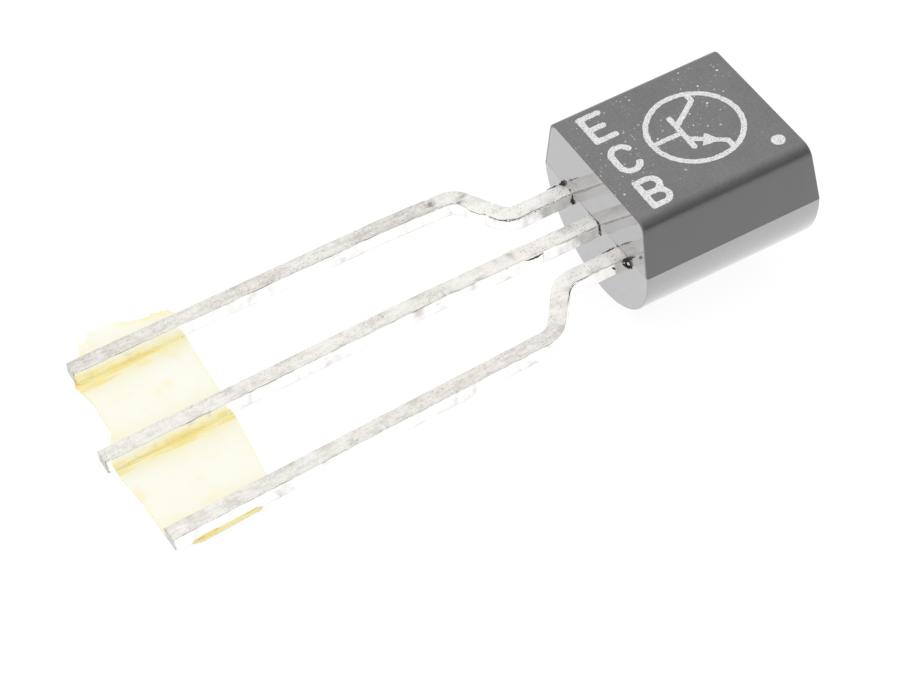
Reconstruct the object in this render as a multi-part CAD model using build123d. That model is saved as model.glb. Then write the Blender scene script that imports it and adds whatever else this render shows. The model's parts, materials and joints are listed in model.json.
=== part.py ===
from build123d import *
import os
from math import asin, atan2, degrees, hypot, radians, tan

# Three-lead transistor in a half-round moulded package, in millimetres.
# It is drawn in the package's own frame: the origin is at the middle of the lead end, on the parting plane
# of the moulding, +X runs from the lead end to the far end, +Y is the emitter's side and +Z points out of
# the flat face. At the end everything is turned to the way it lies on a table, flat face up.

# Moulded body
package_width = 4.7
package_length = 4.8
flat_width = 4.2
front_height = 1.52
back_depth = 2.38
front_end_draft = 0.11
back_end_draft = 0.05
long_edge_radius = 0.33
end_edge_radius = 0.04

# Lead frame, stamped from one strip
lead_width = 0.45
lead_thickness = 0.40
lead_pitch = 1.27
tip_bevel = 0.08

# Leads outside the body, as formed and as found
formed_pitch = 2.60
emitter_length = 12.57
emitter_jog_start = 1.65
emitter_jog_angle = 60
emitter_jog_radius = 0.50
emitter_bow = 0.06
emitter_bow_place = 4.20
emitter_bow_radius = 6.0
collector_length = 13.02
collector_bend_place = 4.60
collector_bend_radius = 20.0
collector_drift = 0.23
base_length = 12.66
base_jog_start = 1.68
base_jog_angle = 55
base_jog_radius = 0.62
base_splay = 0.45
tie_bar_place = 1.80
tie_bar_length = 0.50
tie_bar_stub = 0.04

# Leads inside the body
paddle_start = 0.95
paddle_length = 2.00
paddle_width = 1.40
paddle_notch_radius = 0.14
paddle_notch_place = 0.35
post_start = 0.95
post_length = 1.40
post_width = 0.80
post_shift = 0.14
post_hole_radius = 0.15
post_hole_place = 0.30
inner_corner_radius = 0.10

# Chip and its bonds
chip_side = 0.46
chip_thickness = 0.20
chip_place = 1.24
bond_thickness = 0.04
bond_margin = 0.03
pad_offset = 0.11
wire_radius = 0.025
ball_radius = 0.05
ball_height = 0.04
wire_rise = 0.34
wire_bend_radius = 0.10
stitch_length = 0.16
stitch_width = 0.09
stitch_thickness = 0.02
post_landing = 0.30

# Holding tape, cut at two sides and torn past the emitter lead
tape_thickness = 0.12
tape_length = 2.90
tape_overhang = 0.07
tape_bulge = 0.17
tape_hollow = 0.20
tape_skew = 0.24
tape_wave = 0.05
# Torn edge, from the lead tips towards the body: place along the tape and height above the emitter lead,
# both as shares of the tape's length
torn_edge = [
    (0.07, 0.093),
    (0.17, 0.214),
    (0.21, 0.290),
    (0.22, 0.359),
    (0.25, 0.310),
    (0.29, 0.352),
    (0.34, 0.424),
    (0.41, 0.407),
    (0.47, 0.424),
    (0.57, 0.403),
    (0.64, 0.366),
    (0.76, 0.310),
    (0.86, 0.314),
    (0.95, 0.300),
    (1.00, 0.276),
    (1.04, 0.228),
    (1.04, 0.138),
]
# Near edge, from the body's side: place along the tape and how far it shows past the base lead, likewise
near_edge = [
    (0.74, 0.0114),
    (0.45, 0.0207),
    (0.24, 0.0248),
    (0.16, 0.0103),
]

# Worked out from the sizes above
back_radius = package_width / 2
cut_allowance = 0.50
post_middle = post_start + post_length / 2
post_line = lead_pitch + post_shift
paddle_middle = paddle_start + paddle_length / 2
chip_middle = paddle_start + chip_place
chip_top = bond_thickness + chip_thickness
tape_tip = -(emitter_length + tape_overhang)
tape_body_side = tape_tip + tape_length


def block(x0, x1, y0, y1, z0, z1):
    """Box between two corners."""
    middle = Pos((x0 + x1) / 2, (y0 + y1) / 2, (z0 + z1) / 2)
    return middle * Box(x1 - x0, y1 - y0, z1 - z0)


def side_of_strip(points, radii, offset):
    """One side of a flat strip: the route moved sideways, its bends concentric with the route's."""
    runs = []
    for start, end in zip(points, points[1:]):
        length = hypot(end[0] - start[0], end[1] - start[1])
        runs.append(((end[0] - start[0]) / length, (end[1] - start[1]) / length))
    side = [(points[0][0] - runs[0][1] * offset, points[0][1] + runs[0][0] * offset)]
    bends = []
    for corner, before, after, radius in zip(points[1:-1], runs, runs[1:], radii):
        across = before[0] * after[1] - before[1] * after[0]
        turn = atan2(across, before[0] * after[0] + before[1] * after[1])
        reach = offset * tan(turn / 2)
        x = corner[0] - before[1] * offset - before[0] * reach
        y = corner[1] + before[0] * offset - before[1] * reach
        side.append((x, y))
        bends.append(radius - offset if turn > 0 else radius + offset)
    last = runs[-1]
    side.append((points[-1][0] - last[1] * offset, points[-1][1] + last[0] * offset))
    return FilletPolyline(*side, radius=bends)


def flat_strip(points, radii):
    """Face of a lead's width along a route of straight runs joined by tangent bends."""
    left = side_of_strip(points, radii, lead_width / 2)
    right = side_of_strip(points, radii, -lead_width / 2)
    ends = [Line(left @ 0, right @ 0), Line(left @ 1, right @ 1)]
    return make_face(left.edges() + right.edges() + ends)


def stamp_lead(face, length):
    """Lead of a given outline, cut off square at its tip, where the shears leave a bevelled lower edge."""
    lead = extrude(face, amount=-lead_thickness)
    reach = 2 * (formed_pitch + base_splay)
    lead -= block(-length - 2 * cut_allowance, -length, -reach, reach, -1, 1)
    lower_edge = lead.edges().group_by(Axis.X)[0].group_by(Axis.Z)[0]
    return chamfer(lower_edge, tip_bevel)


def jog_end(start, angle):
    """Distance from the body at which an outer lead reaches the formed pitch."""
    return start + (formed_pitch - lead_pitch) / tan(radians(angle))


def tie_bar_remnant():
    """What the shears left of the tie bar on the -Y edge of a lead, centred on the lead."""
    return Pos(0, -tie_bar_stub / 2) * Rectangle(tie_bar_length, lead_width + tie_bar_stub)


def make_post(side):
    """Wide inner end of an outer lead, where the bond wire lands."""
    return Pos(post_middle, side * post_line) * RectangleRounded(post_length, post_width, inner_corner_radius)


def post_hole(side):
    """Hole through a post and the lead that runs into it, which the moulding fills."""
    return Pos(post_start + post_hole_place, side * post_line) * Circle(post_hole_radius)


def make_emitter_lead():
    """Outer lead on the +Y side: jogs out to the formed pitch and bows a little on its way."""
    route = [
        (post_middle, lead_pitch),
        (-emitter_jog_start, lead_pitch),
        (-jog_end(emitter_jog_start, emitter_jog_angle), formed_pitch),
        (-emitter_bow_place, formed_pitch + emitter_bow),
        (-emitter_length - cut_allowance, formed_pitch),
    ]
    bends = [emitter_jog_radius, emitter_jog_radius, emitter_bow_radius]
    jog_middle_x = -(emitter_jog_start + jog_end(emitter_jog_start, emitter_jog_angle)) / 2
    jog_middle = Pos(jog_middle_x, (lead_pitch + formed_pitch) / 2)
    remnant = jog_middle * Rot(0, 0, -emitter_jog_angle) * tie_bar_remnant()
    face = flat_strip(route, bends) + remnant + make_post(1) - post_hole(1)
    return stamp_lead(face, emitter_length)


def make_base_lead():
    """Outer lead on the -Y side: jogs out and splays on towards its tip."""
    route = [
        (post_middle, -lead_pitch),
        (-base_jog_start, -lead_pitch),
        (-jog_end(base_jog_start, base_jog_angle), -formed_pitch),
        (-base_length - cut_allowance, -formed_pitch - base_splay),
    ]
    bends = [base_jog_radius, base_jog_radius]
    face = flat_strip(route, bends) + make_post(-1) - post_hole(-1)
    return stamp_lead(face, base_length)


def make_collector_lead():
    """Middle lead, nearly straight, whose inner end is the paddle that carries the chip."""
    route = [
        (paddle_middle, 0),
        (-collector_bend_place, 0),
        (-collector_length - cut_allowance, -collector_drift),
    ]
    paddle = Pos(paddle_middle, 0) * RectangleRounded(paddle_length, paddle_width, inner_corner_radius)
    for side in (-1, 1):
        notch_x = paddle_start + paddle_notch_place
        paddle -= Pos(notch_x, side * paddle_width / 2) * Circle(paddle_notch_radius)
    face = flat_strip(route, [collector_bend_radius]) + Pos(-tie_bar_place, 0) * tie_bar_remnant() + paddle
    return stamp_lead(face, collector_length)


def make_chip_bond():
    """Thin layer under the chip, a little wider than it."""
    side = chip_side + 2 * bond_margin
    return Pos(chip_middle, 0, bond_thickness / 2) * Box(side, side, bond_thickness)


def make_chip():
    """Silicon chip on its bond layer."""
    height = bond_thickness + chip_thickness / 2
    return Pos(chip_middle, 0, height) * Box(chip_side, chip_side, chip_thickness)


def make_wire(side):
    """Bond wire: a ball on the chip, a bend above it and a straight fall to a stitch on the post."""
    start = Vector(chip_middle, side * pad_offset, chip_top)
    landing = Vector(post_start + post_length - post_landing, side * post_line, 0)
    along = Vector(landing.X - start.X, landing.Y - start.Y, 0)
    loop_plane = Plane(origin=start, x_dir=along, z_dir=along.cross(Vector(0, 0, 1)))
    slope = (wire_rise + chip_top) / along.length
    loop = FilletPolyline(
        (0, 0),
        (0, wire_rise),
        (along.length + wire_bend_radius, -chip_top - slope * wire_bend_radius),
        radius=wire_bend_radius,
    )
    path = loop_plane * loop
    wire = sweep(Plane(origin=start, z_dir=(0, 0, 1)) * Circle(wire_radius), path=path)
    reach = paddle_start + paddle_length
    wire -= block(0, reach, -reach, reach, -chip_top, 0)
    ball = Pos(start) * Cylinder(ball_radius, ball_height, align=(Align.CENTER, Align.CENTER, Align.MIN))
    turn = degrees(atan2(along.Y, along.X))
    stitch = extrude(SlotOverall(stitch_length, stitch_width), amount=stitch_thickness)
    return wire + ball + Pos(landing) * Rot(0, 0, turn) * stitch


def make_front():
    """Front half of the moulding: sloped walls and ends, and rounded long edges on the flat."""
    half = package_width / 2
    flat = flat_width / 2
    outline = Polyline((-half, 0), (half, 0), (flat, front_height), (-flat, front_height), close=True)
    section = make_face(outline)
    section = fillet(section.vertices().group_by(Axis.Y)[-1], long_edge_radius)
    slope = Polyline(
        (0, 0),
        (package_length, 0),
        (package_length - front_end_draft, front_height),
        (front_end_draft, front_height),
        close=True,
    )
    front = extrude(Plane.YZ * section, amount=package_length)
    front &= extrude(Plane.XZ * make_face(slope), amount=package_width, both=True)
    return fillet(end_rims(front), end_edge_radius)


def make_back():
    """Back half of the moulding: half round below a short straight wall, with sloped ends."""
    straight = back_depth - back_radius
    wall = Pos(0, -straight / 2) * Rectangle(package_width, straight)
    section = wall + Pos(0, -straight) * Circle(back_radius)
    section &= Pos(0, -back_depth) * Rectangle(2 * package_width, 2 * back_depth)
    slope = Polyline(
        (0, 0),
        (package_length, 0),
        (package_length - back_end_draft, -back_depth),
        (back_end_draft, -back_depth),
        close=True,
    )
    back = extrude(Plane.YZ * section, amount=package_length)
    back &= extrude(Plane.XZ * make_face(slope), amount=package_width, both=True)
    return fillet(end_rims(back), end_edge_radius)


def end_rims(half_body):
    """Edges round the two end faces of half the moulding, apart from those on the parting plane."""
    ends = half_body.faces().sort_by(Axis.X)
    rims = ends[0].edges() + ends[-1].edges()
    return [edge for edge in rims if abs((edge @ 0.5).Z) > end_edge_radius]


def tape_outline():
    """Outline of the tape: torn edge, body's side, near edge and the lead tips' side."""
    base_slope = base_splay / (base_length + cut_allowance - jog_end(base_jog_start, base_jog_angle))
    collector_y = -collector_drift
    points = []
    for share, height in torn_edge:
        points.append((tape_tip + share * tape_length, formed_pitch + height * tape_length))
    points.append((tape_body_side, formed_pitch - lead_width / 2))
    points.append((tape_body_side - tape_wave, 0))
    points.append((tape_body_side - tape_skew, -formed_pitch))
    for share, margin in near_edge:
        x = tape_tip + share * tape_length
        base_y = -formed_pitch - base_slope * (-x - jog_end(base_jog_start, base_jog_angle))
        points.append((x, base_y - lead_width / 2 - margin * tape_length))
    points.append((tape_tip, -formed_pitch - base_splay / 2))
    points.append((tape_tip - tape_wave, collector_y - formed_pitch / 2))
    points.append((tape_tip - tape_bulge, collector_y - lead_width))
    points.append((tape_tip - tape_bulge, collector_y + lead_width / 2))
    points.append((tape_tip + tape_hollow, collector_y + 2 * lead_width))
    points.append((tape_tip + tape_hollow, formed_pitch - 2 * lead_width))
    points.append((tape_tip + tape_wave, formed_pitch - lead_width / 2))
    return points


def make_tape():
    """Fragment of holding tape, stuck flat to the undersides of the leads."""
    outline = make_face(Polyline(*tape_outline(), close=True))
    return Pos(0, 0, -lead_thickness) * extrude(outline, amount=-tape_thickness)


def rest_tilt():
    """Angle by which the leads point down when it lies on its back's end and on the tape or a tip."""
    contacts = [(tape_bulge - tape_tip, lead_thickness + tape_thickness)]
    for length in (emitter_length, collector_length, base_length):
        contacts.append((length - tip_bevel, lead_thickness))
    angles = []
    for reach, depth in contacts:
        # Both places touch the table once the rounded rim's centre stands one radius above it
        run = reach + back_end_draft + end_edge_radius
        rise = back_depth - end_edge_radius - depth
        angles.append(atan2(rise, run) + asin(end_edge_radius / hypot(run, rise)))
    return degrees(min(angles))


parts = {
    "emitter_lead": make_emitter_lead(),
    "collector_lead": make_collector_lead(),
    "base_lead": make_base_lead(),
    "chip_bond": make_chip_bond(),
    "transistor_chip": make_chip(),
    "emitter_wire": make_wire(1),
    "base_wire": make_wire(-1),
}
body = make_front() + make_back()
for held in parts.values():
    body -= held
parts["package_body"] = body
parts["holding_tape"] = make_tape()

# Turned to lie on the table, then moved so that the middle of its footprint is the origin
tilt = Rot(0, -rest_tilt(), 0)
parts = {name: tilt * part for name, part in parts.items()}
extent = Compound(children=[Compound(part.solids()) for part in parts.values()]).bounding_box()
shift = Pos(-extent.center().X, -extent.center().Y, -extent.min.Z)
package_place = shift * tilt

os.makedirs("parts", exist_ok=True)
for name, part in parts.items():
    export_step(Compound((shift * part).solids()), f"parts/{name}.step")
print("tilt", round(rest_tilt(), 3), "size", extent.size)
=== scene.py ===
import json
import math
import random
import bmesh
import bpy
from mathutils import Matrix, Vector, noise
from mathutils.geometry import delaunay_2d_cdt


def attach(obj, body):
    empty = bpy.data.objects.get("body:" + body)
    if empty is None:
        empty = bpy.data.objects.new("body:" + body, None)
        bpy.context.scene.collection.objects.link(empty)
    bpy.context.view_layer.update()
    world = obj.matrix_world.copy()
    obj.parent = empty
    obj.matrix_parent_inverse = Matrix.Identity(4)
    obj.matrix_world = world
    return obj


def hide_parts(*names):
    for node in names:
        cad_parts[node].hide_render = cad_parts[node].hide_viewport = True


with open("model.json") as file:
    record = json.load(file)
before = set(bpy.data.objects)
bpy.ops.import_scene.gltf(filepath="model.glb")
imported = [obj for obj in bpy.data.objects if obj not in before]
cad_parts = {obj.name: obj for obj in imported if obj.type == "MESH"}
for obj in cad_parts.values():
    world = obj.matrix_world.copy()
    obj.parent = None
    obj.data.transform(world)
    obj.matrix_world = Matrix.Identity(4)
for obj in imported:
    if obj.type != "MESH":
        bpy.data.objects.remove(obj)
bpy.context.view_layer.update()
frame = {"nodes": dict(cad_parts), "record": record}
mm = 0.001
print("frame loaded")

# Every piece is drawn in the package's own frame, in millimetres: x runs from the lead end to the far end,
# y is the emitter's side, z comes out of the flat face, and z = 0 is the parting plane.
package = {"length": 4.8, "width": 4.7, "flat": 4.2, "front": 1.52, "back": 2.38}
faceMount = next(mount for mount in frame["record"]["mounts"] if mount["name"] == "front_face")
upWay = Vector(faceMount["axis"]).normalized()
farWay = Vector((upWay.z, 0, -upWay.x))
sideWay = Vector((0, 1, 0))
packageStart = Vector(faceMount["pos_m"]) - farWay * package["length"] / 2 * mm - upWay * package["front"] * mm
turn = Matrix((farWay, sideWay, upWay)).transposed()
place = Matrix.Translation(packageStart) @ turn.to_4x4() @ Matrix.Scale(mm, 4)


def newObject(name, data):
    obj = bpy.data.objects.new(name, data)
    bpy.context.scene.collection.objects.link(obj)
    return obj


def meshFrom(bm, name):
    bmesh.ops.recalc_face_normals(bm, faces=bm.faces)
    mesh = bpy.data.meshes.new(name)
    bm.to_mesh(mesh)
    bm.free()
    return mesh


def settle(name, mesh, materials, node, sharp):
    obj = newObject(name, mesh)
    for material in materials:
        mesh.materials.append(material)
    mesh.transform(place)  # from millimetres in the package's frame to its place
    mesh.shade_smooth()
    mesh.set_sharp_from_angle(angle=math.radians(sharp))
    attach(obj, "root")
    if node:
        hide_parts(node)
    print(name, len(mesh.polygons), "faces")


# Node helpers, for materials and for the trees that shape pieces. A socket or a node knows its own tree.

def feed(node, inputs):
    for key, value in inputs.items():
        if isinstance(value, bpy.types.Node):
            value = value.outputs[0]  # a node stands for its first output
        if isinstance(value, bpy.types.NodeSocket):
            node.id_data.links.new(value, node.inputs[key])
        else:
            node.inputs[key].default_value = value


def put(tree, kind, inputs, **settings):
    node = tree.nodes.new(kind)
    for key, value in settings.items():
        setattr(node, key, value)
    feed(node, inputs)
    return node


def combine(operation, first, second):
    return put(first.id_data, "ShaderNodeMath", {0: first, 1: second}, operation=operation)


def times(first, *others):
    for value in others:
        first = combine("MULTIPLY", first, value)
    return first


def plus(first, *others):
    for value in others:
        first = combine("ADD", first, value)
    return first


def weigh(*parts):
    return plus(*[times(value, share) for value, share in parts])


def spread(value, low, high, outLow=0.0, outHigh=1.0):
    inputs = {"Value": value, "From Min": low, "From Max": high, "To Min": outLow, "To Max": outHigh}
    return put(value.id_data, "ShaderNodeMapRange", inputs)


def mixColour(share, first, second):
    inputs = {"Factor": share}
    for key, colour in (("A", first), ("B", second)):
        inputs[key] = (*colour, 1) if isinstance(colour, tuple) else colour
    return put(share.id_data, "ShaderNodeMix", inputs, data_type="RGBA").outputs["Result"]


def objectPlace(tree):
    return put(tree, "ShaderNodeTexCoord", {}).outputs["Object"]


def attribute(tree, name):
    return put(tree, "ShaderNodeAttribute", {}, attribute_name=name).outputs["Fac"]


def objectNoise(tree, scale, detail=3.0, roughness=0.5, stretch=(1, 1, 1), offset=(0, 0, 0)):
    mapping = put(tree, "ShaderNodeMapping", {"Vector": objectPlace(tree), "Scale": stretch, "Location": offset})
    inputs = {"Vector": mapping, "Scale": scale, "Detail": detail, "Roughness": roughness}
    return put(tree, "ShaderNodeTexNoise", inputs)


def specks(tree, scale, size, rare):
    # round specks in the cells of a jumbled grid, fewer of them as rare nears 1
    where = objectPlace(tree)
    jumble = put(tree, "ShaderNodeTexNoise", {"Vector": where, "Scale": scale * 5})
    shiftInputs = {0: jumble.outputs["Color"], 1: (0.25 / scale,) * 3, 2: where}
    shift = put(tree, "ShaderNodeVectorMath", shiftInputs, operation="MULTIPLY_ADD")
    cells = put(tree, "ShaderNodeTexVoronoi", {"Vector": shift, "Scale": scale})
    chance = put(tree, "ShaderNodeSeparateColor", {"Color": cells.outputs["Color"]})
    reach = spread(chance.outputs["Red"], rare, 1.0, 0.0, size)
    return combine("LESS_THAN", cells.outputs["Distance"], reach)


def startMaterial(name):
    material = bpy.data.materials.new(name)
    material.use_nodes = True
    return material, material.node_tree, material.node_tree.nodes["Principled BSDF"]


def addBump(shader, height, strength, distance):
    bump = put(shader.id_data, "ShaderNodeBump", {"Strength": strength, "Distance": distance, "Height": height})
    feed(shader, {"Normal": bump})


# Materials. A noise is given as its scale, detail and roughness, then its stretch and offset.
moulding = {
    "faceDark": (0.138, 0.134, 0.137), "faceLight": (0.198, 0.192, 0.196), "faceRoughness": 0.55,
    "wall": (0.046, 0.045, 0.047), "wallLight": (0.058, 0.056, 0.059), "wallRoughness": 0.16, "wallIor": 1.62,
    "wallCoat": {"Coat Roughness": 0.12, "Coat IOR": 1.65}, "polish": (0.205, 0.200, 0.207),
    "polishLight": (0.235, 0.229, 0.237), "polishRoughness": (0.045, 0.095), "polishIor": 2.15,
    "polishCoat": {"Coat Weight": 1.0, "Coat Roughness": 0.03, "Coat IOR": 2.15},
    "polishSheen": {"Sheen Weight": 0.2, "Sheen Roughness": 0.4}, "grain": (20000, 4, 0.7), "blotch": (900, 2),
    "toneRange": (0.36, 0.64), "cloud": (1800, 3), "scuff": (9000, 4, 0.7), "wave": (1200, 2),
    "dust": (0.80, 0.78, 0.76), "dustSpecks": (7500, 0.22, 0.55), "fineDustSpecks": (15000, 0.22, 0.45),
    "drift": (900, 3, 0.6), "driftRange": (0.42, 0.56), "driftAcross": (-0.0022, 0.0022, -0.16, 0.10),
}


def makeFaceMaterial():
    material, tree, shader = startMaterial("mouldedFace")
    matte = attribute(tree, "matte")  # 1 on the flat face, 0 on the walls
    grain, blotch = [objectNoise(tree, *moulding[key]) for key in ("grain", "blotch")]
    tone = spread(weigh((grain, 0.75), (blotch, 0.25)), *moulding["toneRange"])
    surface = mixColour(tone, moulding["faceDark"], moulding["faceLight"])
    wall = mixColour(blotch, moulding["wall"], moulding["wallLight"])
    surface = mixColour(spread(matte, 0.15, 1), wall, surface)
    # dust on the flat face only, in drifts, with more of it towards the emitter's side
    dust = combine("MAXIMUM", specks(tree, *moulding["dustSpecks"]), specks(tree, *moulding["fineDustSpecks"]))
    aside = put(tree, "ShaderNodeSeparateXYZ", {"Vector": objectPlace(tree)}).outputs["Y"]
    cover = plus(objectNoise(tree, *moulding["drift"]), spread(aside, *moulding["driftAcross"]))
    onFace = combine("GREATER_THAN", matte, 0.9)
    dust = times(dust, spread(cover, *moulding["driftRange"]), onFace)
    feed(shader, {
        "Base Color": mixColour(dust, surface, moulding["dust"]),
        "Roughness": spread(matte, 0, 1, moulding["wallRoughness"], moulding["faceRoughness"]),
        "Coat Weight": spread(matte, 0, 0.8, 1, 0),
        "IOR": moulding["wallIor"],
        **moulding["wallCoat"],
    })
    addBump(shader, times(plus(grain, dust), matte), 0.4, 0.006 * mm)
    return material


# painted reflection: the polished half's colour is much lighter than the walls' colour of the same epoxy, for part
# of the bright table's reflection on the back and the ends
def makePolishMaterial():
    material, tree, shader = startMaterial("mouldedPolish")
    cloud, scuff, wave = [objectNoise(tree, *moulding[key]) for key in ("cloud", "scuff", "wave")]
    feed(shader, {
        "Base Color": mixColour(cloud, moulding["polish"], moulding["polishLight"]),
        "Roughness": spread(scuff, 0.4, 0.75, *moulding["polishRoughness"]),
        "IOR": moulding["polishIor"],
        **moulding["polishCoat"],
        **moulding["polishSheen"],
    })
    addBump(shader, wave, 0.04, 0.01 * mm)
    return material


tin = {
    "bright": (0.97, 0.95, 0.90), "dull": (0.80, 0.765, 0.705), "lightNearBody": (0.995, 0.985, 0.965),
    "darkened": (0.71, 0.685, 0.64), "darkenedStreak": (0.37, 0.35, 0.32), "speck": (0.40, 0.33, 0.26),
    "edgeDark": (0.24, 0.20, 0.17), "flank": (0.995, 0.99, 0.98), "grain": (12000, 5, 0.8),
    "streak": (9000, 3, 0.65, (0.16, 1, 1)), "cloud": (2400, 3, 0.6), "toneRange": (0.47, 0.62),
    "darkenedRange": (0.44, 0.60), "lightNearBodyRange": (0.35, 0.75, 0.0, 0.8), "pits": (23000, 0.46, 0.30),
    "pitRange": (0.46, 0.66, 0.0, 0.7), "pitsNear": 0.22, "runs": (2600, 3, 0.6, (0.5, 1, 1), (8, 3, 1)),
    "runRange": (0.50, 0.60, 0.0, 0.85), "runsNear": 0.08, "steep": (0.4, 0.95), "topMetal": 0.5,
    "roughness": (0.26, 0.44), "flankRoughness": 0.35, "flankBump": 0.25,
}


def makeTinMaterial():
    material, tree, shader = startMaterial("tinPlate")
    grain, streak, cloud = [objectNoise(tree, *tin[key]) for key in ("grain", "streak", "cloud")]
    # flank is 0 on the top and 1 on the sides; near is 1 next to the body and is raised along some leads, for more
    # pits there and for some of the painted light made next to the body
    darkened, flank, near = [attribute(tree, key) for key in ("darkened", "flank", "near")]
    tone = weigh((grain, 0.45), (streak, 0.3), (cloud, 0.25))
    colour = mixColour(spread(tone, *tin["toneRange"]), tin["bright"], tin["dull"])
    speckle = spread(weigh((grain, 0.6), (streak, 0.4)), *tin["darkenedRange"])
    darkTone = mixColour(speckle, tin["darkened"], tin["darkenedStreak"])
    # the tin turns darker at places along each lead and on its sheared tip
    colour = mixColour(times(darkened, spread(tone, 0.3, 0.6, 0.5, 1.0)), colour, darkTone)
    # painted light: the tin is made lighter next to the body, against the shade the body casts there
    colour = mixColour(spread(near, *tin["lightNearBodyRange"]), colour, tin["lightNearBody"])
    # fine pits in the plating, more of them near the body
    crowd = plus(cloud, times(near, tin["pitsNear"]))
    pits = times(specks(tree, *tin["pits"]), spread(crowd, *tin["pitRange"]))
    colour = mixColour(pits, colour, tin["speck"])
    sideColour = mixColour(spread(tone, 0.56, 0.78), tin["flank"], tin["bright"])
    # painted reflection: the sides are made darker next to the body, where they mirror its grey end face
    sideColour = mixColour(spread(near, 0.5, 1.0, 0.0, 0.6), sideColour, tin["dull"])
    colour = mixColour(spread(flank, 0.55, 0.95), colour, sideColour)
    # darker in short runs along the stamped edges between top and sides, more of it next to the body
    runs = plus(objectNoise(tree, *tin["runs"]), times(near, tin["runsNear"]))
    edge = times(spread(flank, 0.02, 0.16), spread(flank, 0.75, 0.95, 1, 0))
    edge = times(edge, spread(runs, *tin["runRange"]))
    rough = spread(tone, 0.3, 0.8, *tin["roughness"])
    feed(shader, {
        "Base Color": mixColour(edge, colour, tin["edgeDark"]),
        "Metallic": spread(flank, *tin["steep"], tin["topMetal"], 1.0),
        "Roughness": times(rough, spread(flank, *tin["steep"], 1.0, tin["flankRoughness"])),
    })
    smooth = spread(flank, *tin["steep"], 1.0, tin["flankBump"])
    addBump(shader, times(plus(grain, streak), smooth), 0.35, 0.02 * mm)
    return material


paper = {
    "pale": (0.99, 0.99, 0.90), "cream": (0.99, 0.97, 0.80), "glueAndLeadShade": (0.998, 0.935, 0.52),
    "amberContactShade": (0.998, 0.85, 0.36), "spot": (0.985, 0.88, 0.52), "fibre": (2600, 4, 0.65, (1, 2.6, 1)),
    "cloud": (900, 3), "stain": (1500, 2, 0.5, (1, 1, 1), (1, 4, 2)), "stainRange": (0.60, 0.76, 0.0, 0.6),
    "streak": (7000, 3, 0.6, (0.06, 1, 1), (3, 1, 6)), "streakRange": (0.56, 0.68), "leadShadeReach": 0.75,
    "contactShadeReach": 0.34, "rimReach": 0.24, "roughness": (0.42, 0.62), "ior": 1.4,
}


def makeTapeMaterial():
    material, tree, shader = startMaterial("tapePaper")
    fibre, cloud, stain, streak = [objectNoise(tree, *paper[key]) for key in ("fibre", "cloud", "stain", "streak")]
    beside = attribute(tree, "beside")  # how far the nearest lead's side is
    edge = attribute(tree, "edge")  # how far the tape's own edge is
    colour = mixColour(spread(cloud, 0.35, 0.7), paper["pale"], paper["cream"])
    colour = mixColour(spread(stain, *paper["stainRange"]), colour, paper["spot"])
    # painted shade and reflection beside each lead: a soft yellow band where the lead shades the tape and is
    # mirrored in it, with amber streaks nearest the lead as painted contact shade; the rim at the tape's torn edge
    # takes the same yellow as glue
    leadShade = spread(beside, 0, paper["leadShadeReach"], 0.95, 0)
    leadShade = times(times(leadShade, leadShade), spread(fibre, 0.25, 0.7, 0.75, 1.15))
    rim = times(spread(edge, 0, paper["rimReach"], 1, 0), spread(cloud, 0.38, 0.52))
    colour = mixColour(combine("MAXIMUM", leadShade, rim), colour, paper["glueAndLeadShade"])
    # painted contact shade: amber streaks nearest each lead
    contactShade = spread(beside, 0, paper["contactShadeReach"], 1.0, 0)
    streaks = spread(plus(streak, times(contactShade, 0.14)), *paper["streakRange"])
    colour = mixColour(times(streaks, spread(contactShade, 0, 0.35)), colour, paper["amberContactShade"])
    rough = spread(fibre, 0.3, 0.7, *paper["roughness"])
    feed(shader, {"Base Color": colour, "Roughness": rough, "IOR": paper["ior"]})
    addBump(shader, fibre, 0.35, 0.03 * mm)
    return material


# Plain finishes: the noise and the part of it that spreads dark to light, the two colours, roughness, metallic and
# the bump's strength and distance
plain = {
    "mouldFlash": ((16000, 4, 0.7), (0, 1), (0.012, 0.011, 0.012), (0.05, 0.045, 0.045), 0.6, 0.0, 0.5, 0.010),
    "cutMetal": ((12000, 3, 0.6, (1, 1, 3)), (0.35, 0.65), (0.07, 0.055, 0.048), (0.26, 0.21, 0.18), 0.55, 0.7,
                 0.5, 0.020),
    "markInk": ((26000, 3, 0.7), (0.47, 0.66), (0.85, 0.84, 0.84), (0.42, 0.41, 0.42), 0.6, 0.0, 0.4, 0.008),
    "siliconChip": ((3000, 3), (0, 1), (0.12, 0.13, 0.16), (0.25, 0.26, 0.30), (0.15, 0.30), 0.6, 0.2, 0.004),
    "silverBond": ((9000, 3), (0, 1), (0.45, 0.45, 0.44), (0.65, 0.65, 0.63), (0.5, 0.65), 0.5, 0.2, 0.004),
    "goldWire": ((12000, 3), (0, 1), (0.80, 0.58, 0.20), (0.92, 0.72, 0.32), (0.2, 0.35), 1.0, 0.2, 0.004),
}


def makePlainMaterial(name, noiseShape, span, dark, light, roughness, metallic, strength, distance):
    material, tree, shader = startMaterial(name)
    cloud = objectNoise(tree, *noiseShape)
    rough = spread(cloud, 0.3, 0.7, *roughness) if isinstance(roughness, tuple) else roughness
    colour = mixColour(spread(cloud, *span), dark, light)
    feed(shader, {"Base Color": colour, "Roughness": rough, "Metallic": metallic})
    addBump(shader, cloud, strength, distance * mm)
    return material


faceMaterial = makeFaceMaterial()
polishMaterial = makePolishMaterial()
tinMaterial = makeTinMaterial()
tapeMaterial = makeTapeMaterial()
plainMaterials = {name: makePlainMaterial(name, *shape) for name, shape in plain.items()}
print("materials made")

# Camera at the photograph's viewing angle, placed in the package's frame
camera = {
    "at": (-21.42789, -39.48461, 45.83179), "along": (0.27004805, 0.61531808, -0.74057931),
    "right": (0.87159063, -0.48306429, -0.08353844), "lens": 108.09, "sensor": 36.0, "clip": (0.001, 20),
}


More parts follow.
